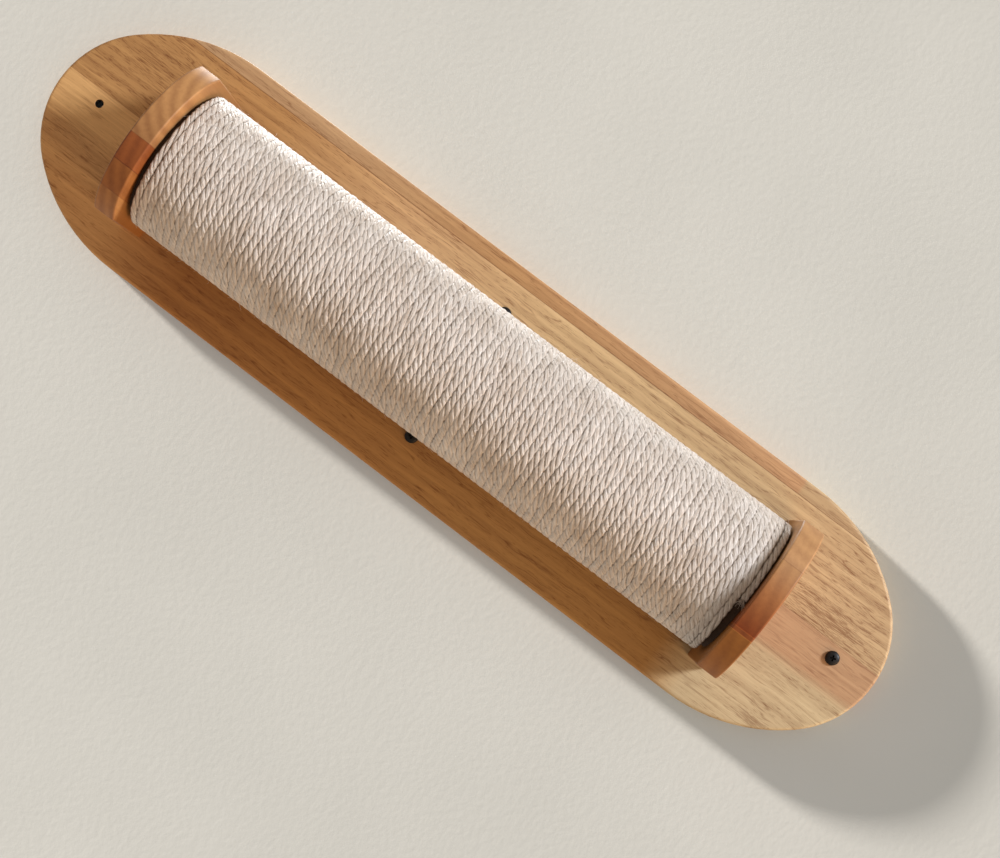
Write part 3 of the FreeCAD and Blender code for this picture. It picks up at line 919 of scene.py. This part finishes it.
@dataclass
class Screws:
    """A set of equal cross-recessed screws.

    Attributes:
        name: The set's name.
        node: The solids that it stands for.
        places: Where each screw's seat lies: under a pan head, or at a countersunk face.
        out: The way out of the heads.
        spin: How far the first recess is turned, in degrees; each next one turns on.
    """

    name: str
    node: str
    slot: str
    finish: Finish
    form: HeadForm
    places: tuple[Point, ...]
    out: Point
    length: float
    head_diameter: float
    shank_diameter: float
    thread_diameter: float
    plain_length: float
    tip_length: float
    head_height: float = 2.6
    head_rim: float = 1.0
    thread_pitch: float = 1.8
    core_share: float = 0.7
    recess_span: float = 4.4
    recess_wing: float = 1.15
    recess_depth: float = 1.7
    spin: float = 20.0
    segments: int = 48

    def profile(self) -> list[tuple[float, float]]:
        """Return the lathe profile as radii and heights from the head's top to the tip."""
        head, shank = self.head_diameter / 2, self.shank_diameter / 2
        core = self.thread_diameter / 2 * self.core_share
        if self.form is HeadForm.PAN:
            dome = self.head_height - self.head_rim
            steps = np.linspace(0, 1, 9)[1:]
            points = [(head * math.sin(step * math.pi / 2) ** 0.92,
                       self.head_rim + dome * math.cos(step * math.pi / 2)) for step in steps]
            points += [(head, 0.12), (head - 0.12, 0.0), (shank, 0.0)]
        else:
            points = [(head - 0.15, 0.0), (head, -0.12), (shank, -(head - shank))]
        points += [(shank, -self.plain_length), (core, -self.plain_length - 0.4),
                   (core, -self.length + self.tip_length), (core * 0.08, -self.length)]
        return points

    def lathe(self) -> tuple[np.ndarray, list[list[int]]]:
        """Turn the profile about the screw's axis.

        Returns:
            Points and faces of a closed solid.
        """
        profile = self.profile()
        angles = np.arange(self.segments) * 2 * math.pi / self.segments
        rings = [np.stack([radius * np.cos(angles), radius * np.sin(angles),
                           np.full_like(angles, height)], -1) for radius, height in profile[::-1]]
        return np.concatenate(rings), tube_faces(len(rings), self.segments)

    def thread(self) -> tuple[np.ndarray, list[list[int]]]:
        """Wind the thread's ridge round the core.

        Returns:
            Points and faces of a closed ridge that starts and ends in the core.
        """
        crest = self.thread_diameter / 2
        core = crest * self.core_share
        top, bottom = -self.plain_length - 0.6, -self.length + 0.35 * self.tip_length
        steps = int((top - bottom) / self.thread_pitch * 24)
        share = np.linspace(0, 1, steps)
        height = bottom + (top - bottom) * share
        angle = 2 * math.pi * (height - bottom) / self.thread_pitch
        taper = np.clip((height + self.length) / self.tip_length, 0, 1)
        rise = (crest - core) * np.clip(share * 12, 0, 1) * np.clip((1 - share) * 12, 0, 1)
        foot = core * taper - 0.12
        out = np.stack([np.cos(angle), np.sin(angle)], -1)
        half = 0.36 * self.thread_pitch
        corners = [np.column_stack([out * foot[:, None], height - half]),
                   np.column_stack([out * (foot + 0.12 + rise * taper)[:, None], height]),
                   np.column_stack([out * foot[:, None], height + half])]
        return np.stack(corners, 1).reshape(-1, 3), tube_faces(steps, 3)

    def recess(self) -> Piece:
        """Return the cutter for the cross recess, with tapering wings."""
        top = self.head_height if self.form is HeadForm.PAN else 0.0
        vertices = []
        for height, share in ((top - self.recess_depth, 0.35), (top + 0.5, 1.1)):
            span, wing = self.recess_span / 2 * share, self.recess_wing / 2 * (0.6 + 0.4 * share)
            quarter = [(span, -wing), (span, wing), (wing, wing)]
            for turn in range(4):
                spin = Matrix.Rotation(turn * math.pi / 2, 2)
                vertices += [(*(spin @ Vector(corner)), height) for corner in quarter]
        faces = tube_faces(2, 12)
        return new_piece(self.name + "_cutter", np.array(vertices), faces, self.finish)

    def build(self) -> None:
        """Build the set in place of its solids."""
        vertices, faces = self.lathe()
        head = new_piece(self.name + "_blank", vertices, faces, self.finish)
        cutter = self.recess()
        cut = head.modifiers.new("recess", "BOOLEAN")
        cut.object, cut.operation, cut.solver = cutter, "DIFFERENCE", "EXACT"
        graph = bpy.context.evaluated_depsgraph_get()
        solid = bpy.data.meshes.new_from_object(head.evaluated_get(graph))
        body = np.array([vertex.co for vertex in solid.vertices])
        body_faces = [list(face.vertices) for face in solid.polygons]
        for spare in (head, cutter):
            bpy.data.objects.remove(spare)
        ridge, ridge_faces = self.thread()
        one = np.concatenate([body, ridge])
        one_faces = body_faces + [[len(body) + corner for corner in face] for face in ridge_faces]
        turned = Vector((0, 0, 1)).rotation_difference(Vector(self.out)).to_matrix()
        points, all_faces = [], []
        for number, place in enumerate(self.places):
            spin = Matrix.Rotation(math.radians(self.spin * (1 + 1.7 * number)), 3, "Z")
            points.append(one @ np.array(turned @ spin).T + np.array(place))
            base = number * len(one)
            all_faces += [[base + corner for corner in face] for face in one_faces]
        piece = new_piece(self.name, np.concatenate(points) * MM, all_faces, self.finish)
        piece.data.set_sharp_from_angle(angle=math.radians(35))
        join_root(piece, [self.node])


BLACK_OXIDE = ScrewSteel("black_oxide_steel", "0d0b0a", "1a1613", 0.0, 0.5, 0.3)
ZINC_PLATE = ScrewSteel("zinc_plated_steel", "c9c6bc", "a9a59a", 1.0, 0.33)
BRIGHT_NAIL = ScrewSteel("bright_drawn_steel", "b6b5b2", "93918d", 1.0, 0.4)


def bracket_wood(end: str, staves: tuple[Stave, ...], pith: Point, ring_spacing: float,
                 ring_depth: float) -> OiledAcacia:
    """Return a bracket's wood, which has broad rings and no open pores.

    Args:
        end: Which bracket.
        staves: The strips that it is glued up from.
        pith: A point on the middle of the growth rings.
        ring_spacing: The rings' width.
        ring_depth: How dark they are.

    Returns:
        The finish.
    """
    return OiledAcacia(
        name="oiled_acacia_{}_bracket".format(end), staves=staves, tone_axis=ToneAxis.ACROSS,
        half_span=50.0, grain=GrainAxis.OFF_THE_WALL, pith=pith, ring_spacing=ring_spacing,
        ring_depth=ring_depth, wobble=3.0, ripple=0.3, pore_depth=0.0, line_depth=0.0,
        streak_depth=0.1)


@dataclass
class Woodwork:
    """The board and its two brackets, as packed, in acacia."""

    board: Finish = field(default_factory=lambda: OiledAcacia(
        name="oiled_acacia_board",
        staves=(
            Stave(65.2, ((-201.0, "bfa077"), (-199.0, "c2976d"), (20.0, "be8f5e"),
                         (150.0, "c59c70")), 0.10, 0.45, 0.8),
            Stave(7.7, ((-303.0, "c2a47b"), (-30.0, "d7b382"), (80.0, "d8ab79"),
                        (180.0, "c28f57")), 0.71, 0.2, 1.0),
            # This strip grows paler towards the upper end: partly its own tone, partly painted
            # light that lifts the upper bracket's shadow on the board
            Stave(-18.5, ((-230.0, "b8926d"), (100.0, "e0ad70")), 0.22, 0.0, 0.6, 7.0),
            # This strip is darker along the post, from -188 to 170: partly its own tone, partly
            # painted shade where the post's shadow falls. Its soft step at -212 to -188 is partly a
            # butt joint and partly a painted shadow edge. Its paler top end is partly painted light
            # that lifts the upper bracket's shadow on the board
            Stave(-75.0, ((-212.0, "c4ae87"), (-188.0, "af8045"), (-80.0, "b98a4f"),
                          (60.0, "b68145"), (170.0, "a9723a"), (230.0, "ce9b62")), 0.43, 0.0, 0.85),
        ),
        tone_axis=ToneAxis.UP, half_span=303.0, grain=GrainAxis.UP_THE_BOARD,
        pith=(10.0, 70.0, 0.0), bores=((0.0, 0.0, 274.0),),
        figures=(Figure((16.0, -15.0, -255.0), (18.0, 40.0, 55.0), 0.2),
                 Figure((45.0, -15.0, -260.0), (30.0, 40.0, 50.0), 0.05),
                 Figure((-58.0, -15.0, -258.0), (10.0, 40.0, 22.0), 0.15),
                 Figure((40.0, -15.0, 255.0), (45.0, 40.0, 60.0), 0.07),
                 Figure((2.4, -15.0, -300.0), (1.2, 40.0, 12.0), 0.6))))
    upper: Finish = field(default_factory=lambda: bracket_wood("upper", (
        Stave(-4.0, ((-4.0, "a67648"), (20.0, "b4824f")), 0.20, 0.2),
        Stave(-21.0, ((0.0, "945225"),), 0.62, 0.4),
        Stave(-37.0, ((0.0, "9b5f2c"),), 0.40, 0.15),
        Stave(-50.0, ((0.0, "a8703b"),), 0.75),
    ), (62.0, 0.0, 260.0), 7.0, 0.3))
    lower: Finish = field(default_factory=lambda: bracket_wood("lower", (
        Stave(24.0, ((0.0, "b08253"),), 0.15, 0.25),
        Stave(-19.8, ((-20.5, "803a12"), (5.0, "9e6536"), (24.0, "a87a4a")), 0.52, -0.5),
        Stave(-22.4, ((0.0, "8a4a20"),), 0.52, -0.5),
        Stave(-50.0, ((0.0, "996229"),), 0.81),
    ), (70.0, 0.0, -150.0), 8.0, 0.2))

    def build(self) -> None:
        """Dress the board and the brackets."""
        dress_node("base_board", self.board)
        dress_node("upper_bracket", self.upper)
        dress_node("lower_bracket", self.lower)


@dataclass
class Core:
    """The post's hidden core, as packed: card tube, pine discs and nails."""

    ends: tuple[str, str] = ("upper", "lower")

    def build(self) -> None:
        """Dress the tube, the discs and the nails."""
        dress_node("core_tube", WoundCard())
        for end in self.ends:
            dress_node(end + "_core_plug", SawnPine())
            dress_node(end + "_plug_nails", BRIGHT_NAIL)


@dataclass
class Fixings:
    """All the screws: black ones into the wall, plated ones inside the part."""

    board_front: float = -15.0
    post_axis: float = -61.5
    bracket_outer: float = 219.0
    bracket_middle: float = 212.0
    mid_half_spacing: float = 45.5
    mid_height: float = 2.6
    end_height: float = 274.0
    bracket_half_spacing: float = 28.0
    post_half_spacing: float = 18.0

    def wall_screws(self, name: str, node: str, spots: Sequence[tuple[float, float]]) -> Screws:
        """Return a set of black wall screws.

        Args:
            name: The set's name.
            node: The solids that it stands for.
            spots: Each screw's place across and up the board.

        Returns:
            The set.
        """
        places = tuple((x, self.board_front, z) for x, z in spots)
        return Screws(name, node, "black_screw", BLACK_OXIDE, HeadForm.PAN, places,
                      (0.0, -1.0, 0.0), 40.0, 8.6, 3.8, 4.2, 16.0, 5.0)

    def joint_screws(self, name: str, node: str, places: Sequence[Point],
                     out: Point, length: float) -> Screws:
        """Return a set of plated countersunk screws.

        Args:
            name: The set's name.
            node: The solids that it stands for.
            places: Each head's place.
            out: The way out of the heads.
            length: The screws' length.

        Returns:
            The set.
        """
        return Screws(name, node, "plated_screw", ZINC_PLATE, HeadForm.COUNTERSUNK, tuple(places),
                      out, length, 8.0, 4.0, 4.0, 12.0, 4.0, spin=35.0)

    def build(self) -> None:
        """Build every set."""
        mid = [(-self.mid_half_spacing, self.mid_height), (self.mid_half_spacing, self.mid_height)]
        self.wall_screws("mid_cross_head_screws", "mid_wall_screws", mid).build()
        self.wall_screws("lower_cross_head_screw", "lower_wall_screw",
                         [(0.0, -self.end_height)]).build()
        for end, sign in (("upper", 1.0), ("lower", -1.0)):
            pair = (-self.bracket_half_spacing, self.bracket_half_spacing)
            self.joint_screws(
                end + "_bracket_countersunk_screws", end + "_bracket_screws",
                [(x, 0.0, sign * self.bracket_middle) for x in pair],
                (0.0, 1.0, 0.0), 35.0).build()
            pair = (-self.post_half_spacing, self.post_half_spacing)
            self.joint_screws(
                end + "_post_countersunk_screws", end + "_post_screws",
                [(x, self.post_axis, sign * self.bracket_outer) for x in pair],
                (0.0, 0.0, sign), 28.0).build()


@dataclass(frozen=True)
class Lamp:
    """A round area lamp, by the way to it from the part's middle."""

    way: Point
    distance: float
    size: float
    power: float
    colour: str


@dataclass(frozen=True)
class WallLamp:
    """A far lamp that lights the wall alone, by the way to it, with its angle in degrees."""

    way: Point
    strength: float
    angle: float
    colour: str


@dataclass
class Stage:
    """The wall, the light and the camera."""

    middle: Point = (0.0, -60.0, 0.0)
    wall_gap: float = 0.5
    wall_half_size: float = 2500.0
    camera_place: Point = (-32.2, -1131.6, -88.6)
    camera_aim: Point = (-11.41, -60.0, -38.78)
    camera_roll: float = 52.87
    lens: float = 67.78
    key: Lamp = Lamp((0.81, -0.59, -0.85), 4000.0, 900.0, 196.0, "edf4ff")
    fill: Lamp = Lamp((-0.3, -0.3, -1.0), 4000.0, 2400.0, 80.0, "ffcd93")
    back: Lamp = Lamp((0.8, 1.0, 0.5), 1800.0, 600.0, 20.0, "ffffff")
    # The wall is lit by a low lamp that throws the board's shadow, and evenly from the front
    wall_low: WallLamp = WallLamp((8.4, -13.2, 77.6), 7.4, 4.0, "fff4ea")
    wall_front: WallLamp = WallLamp((0.0, -1.0, 0.0), 0.39, 3.5, "daf0ff")
    sky_strength: float = 0.44
    sky_colour: str = "fff0e1"

    def wall(self) -> Piece:
        """Stand a plain wall just behind the board.

        Returns:
            The wall.
        """
        half = self.wall_half_size
        corners = np.array([(-half, self.wall_gap, -half), (half, self.wall_gap, -half),
                            (half, self.wall_gap, half), (-half, self.wall_gap, half)]) * MM
        made = new_piece("stage_wall", corners, [(0, 1, 2, 3)], PaintedPlaster())
        made.visible_shadow = False
        LOG.info("stage_wall")
        return made

    def hang(self, light: bpy.types.Light, place: Vector, aim: Vector) -> Piece:
        """Hang a light.

        Args:
            light: The light.
            place: Where it hangs.
            aim: The point that it faces.

        Returns:
            The light's object.
        """
        made = bpy.data.objects.new(light.name, light)
        made.location = place * MM
        made.rotation_mode = "QUATERNION"
        made.rotation_quaternion = (aim - place).to_track_quat("-Z", "Y")
        bpy.context.scene.collection.objects.link(made)
        LOG.info("%s", light.name)
        return made

    def area(self, name: str, lamp: Lamp) -> Piece:
        """Hang a round area lamp that faces the part.

        Args:
            name: The lamp's name.
            lamp: Its place, size and light.

        Returns:
            The lamp's object.
        """
        light = bpy.data.lights.new(name, "AREA")
        light.shape, light.size = "DISK", lamp.size * MM
        light.energy, light.color = lamp.power, linear(lamp.colour)[:3]
        middle = Vector(self.middle)
        return self.hang(light, middle + Vector(lamp.way).normalized() * lamp.distance, middle)

    def group(self, name: str, member: Piece, state: str) -> bpy.types.Collection:
        """Return a light-linking group of one object.

        Args:
            name: The group's name.
            member: The object.
            state: INCLUDE where the light works on it alone, EXCLUDE where on all but it.

        Returns:
            The group.
        """
        made = bpy.data.collections.new(name)
        made.objects.link(member)
        made.collection_objects[0].light_linking.link_state = state
        return made

    def lights(self, wall: Piece) -> None:
        """Set the sky, the lamps on the part and the low lamp that throws its shadow.

        Args:
            wall: The wall, which has a lamp of its own.
        """
        part_only = self.group("all_but_the_wall", wall, "EXCLUDE")
        for name, lamp in (("key_lamp", self.key), ("fill_lamp", self.fill)):
            self.area(name, lamp).light_linking.receiver_collection = part_only
        self.area("back_lamp", self.back)
        wall_only = self.group("wall_alone", wall, "INCLUDE")
        board_only = self.group("board_alone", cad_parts["base_board"], "INCLUDE")
        for name, lamp, blockers in (("wall_low_lamp", self.wall_low, board_only),
                                     ("wall_front_lamp", self.wall_front, wall_only)):
            light = bpy.data.lights.new(name, "SUN")
            light.energy, light.angle = lamp.strength, math.radians(lamp.angle)
            light.color = linear(lamp.colour)[:3]
            linking = self.hang(light, Vector(lamp.way), Vector()).light_linking
            linking.receiver_collection, linking.blocker_collection = wall_only, blockers
        world = bpy.data.worlds.new("soft_sky")
        bpy.context.scene.world = world
        world.use_nodes = True
        sky = world.node_tree.nodes["Background"]
        sky.inputs["Color"].default_value = linear(self.sky_colour)
        sky.inputs["Strength"].default_value = self.sky_strength

    def camera(self) -> None:
        """Place the camera by its spot, its aim and its roll."""
        data = bpy.data.cameras.new("camera")
        data.sensor_fit, data.sensor_width, data.lens = "HORIZONTAL", 36.0, self.lens
        data.clip_start, data.clip_end = 0.01, 20.0
        made = bpy.data.objects.new("camera", data)
        place, aim = Vector(self.camera_place), Vector(self.camera_aim)
        level = (aim - place).to_track_quat("-Z", "Y").to_matrix()
        roll = Matrix.Rotation(math.radians(-self.camera_roll), 3, "Z")
        made.matrix_world = Matrix.Translation(place * MM) @ (level @ roll).to_4x4()
        bpy.context.scene.collection.objects.link(made)
        bpy.context.scene.camera = made

    def build(self) -> None:
        """Set the whole stage."""
        self.camera()
        self.lights(self.wall())
        bpy.context.scene.view_settings.view_transform = "Standard"


def main() -> None:
    """Build the stage and every sub-assembly in order."""
    logging.basicConfig(level=logging.INFO, format="%(name)s: %(message)s")
    for assembly in (Stage(), Winding(), Woodwork(), Core(), Fixings()):
        assembly.build()


if __name__ == "__main__":
    main()
